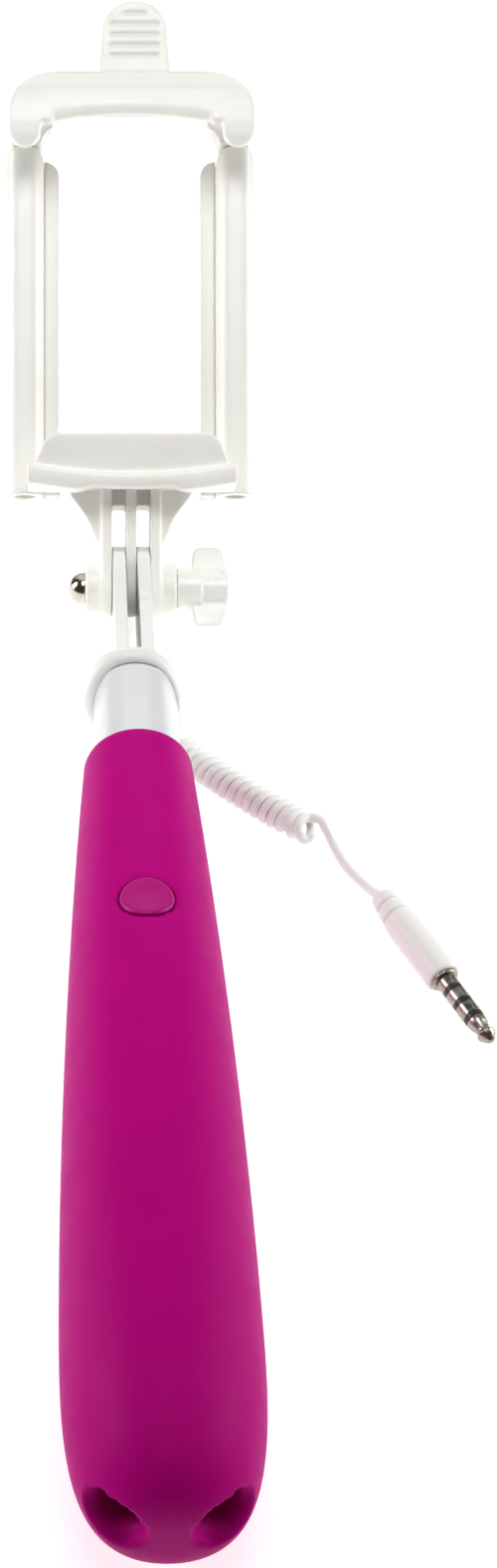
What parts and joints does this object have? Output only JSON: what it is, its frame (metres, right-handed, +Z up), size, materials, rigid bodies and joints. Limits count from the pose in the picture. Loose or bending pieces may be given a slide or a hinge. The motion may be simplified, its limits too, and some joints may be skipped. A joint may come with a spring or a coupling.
{
  "type": "selfie stick",
  "caption": "Wired selfie stick with a rounded grip, telescoping pole, spring-loaded phone holder on a tilting hinge, and a short curly lead with a headphone plug.",
  "frame": {"origin": "on the flat under the grip, below the middle of the grip", "axes": "+Y along the stick from the butt to the holder, +Z up from the table, +X to the right as seen from the butt"},
  "size_m": [0.0809, 0.2777, 0.0957],
  "materials": {
    "grip_rubber": "soft-touch satin",
    "inner_plastic": "moulded",
    "button_rubber": "soft-touch satin",
    "switch_black": "moulded",
    "switch_metal": "stamped",
    "board_green": "coated board",
    "wire_white": "insulated wire",
    "neck_white": "gloss",
    "tube_steel": "polished tube",
    "bush_grey": "moulded",
    "head_white": "satin gloss",
    "holder_white": "satin gloss",
    "cord_white": "soft vinyl",
    "plug_metal": "nickel plate",
    "plug_black": "moulded bands",
    "pad_rubber": "soft",
    "nut_metal": "nickel plate",
    "bolt_steel": "zinc plate",
    "knob_white": "satin gloss"
  },
  "bodies": {
    "handle": {"grip_skin": "grip_rubber", "grip_core": "inner_plastic", "core_end_plug": "inner_plastic", "tact_switch": "switch_metal", "switch_board": "board_green", "switch_lead": "wire_white", "neck_sleeve": "neck_white", "outer_tube": "tube_steel"},
    "button": {"shutter_button": "button_rubber", "switch_plunger": "switch_black"},
    "stage_1": {"stage_1_tube": "tube_steel", "stage_1_bush": "bush_grey"},
    "stage_2": {"stage_2_tube": "tube_steel", "stage_2_bush": "bush_grey"},
    "stage_3": {"stage_3_tube": "tube_steel", "stage_3_bush": "bush_grey"},
    "head": {"stage_4_tube": "tube_steel", "stage_4_bush": "bush_grey", "pole_lead": "wire_white", "head_cap": "head_white", "head_pin": "bolt_steel", "cord_gland": "cord_white", "cord_entry": "cord_white", "curly_cord": "cord_white", "cord_tail": "cord_white", "plug_body": "cord_white", "plug_collar": "plug_metal", "plug_sleeve": "plug_metal", "plug_rings": "plug_metal", "plug_tip": "plug_metal", "plug_insulators": "plug_black"},
    "holder": {"lower_jaw": "holder_white", "lower_pad": "pad_rubber", "left_rail": "holder_white", "right_rail": "holder_white", "back_cover": "holder_white", "left_bush": "inner_plastic", "right_bush": "inner_plastic", "left_spring": "bolt_steel", "right_spring": "bolt_steel", "acorn_nut": "nut_metal"},
    "slider": {"upper_bracket": "holder_white", "upper_pad": "pad_rubber", "left_rod": "bolt_steel", "right_rod": "bolt_steel"},
    "knob": {"wing_knob": "knob_white", "clamp_bolt": "bolt_steel"}
  },
  "joints": [
    {"name": "stage_1_slide", "type": "slide", "parent": "handle", "child": "stage_1", "axis": [0, 0.9996, -0.03], "range_m": [0, 0.125]},
    {"name": "stage_2_slide", "type": "slide", "parent": "stage_1", "child": "stage_2", "axis": [0, 0.9996, -0.03], "range_m": [0, 0.125]},
    {"name": "stage_3_slide", "type": "slide", "parent": "stage_2", "child": "stage_3", "axis": [0, 0.9996, -0.03], "range_m": [0, 0.125]},
    {"name": "stage_4_slide", "type": "slide", "parent": "stage_3", "child": "head", "axis": [0, 0.9996, -0.03], "range_m": [0, 0.125]},
    {"name": "button_press", "type": "slide", "parent": "handle", "child": "button", "axis": [0, -0.03, -0.9996], "range_m": [0, 0.0005], "stiffness_N_per_m": 800, "springref_m": -0.001},
    {"name": "holder_tilt", "type": "hinge", "parent": "head", "child": "holder", "pos_m": [0, 0.12711, 0.00844], "axis": [1, 0, 0], "range_deg": [-137.7, 42.3]},
    {"name": "knob_turn", "type": "hinge", "parent": "holder", "child": "knob", "pos_m": [0, 0.12711, 0.00844], "axis": [1, 0, 0], "continuous": true},
    {"name": "bracket_pull", "type": "slide", "parent": "holder", "child": "slider", "axis": [0, 0.6949, 0.7191], "range_m": [0, 0.022], "stiffness_N_per_m": 200, "springref_m": -0.02, "deforming": ["left_spring", "right_spring"]}
  ]
}
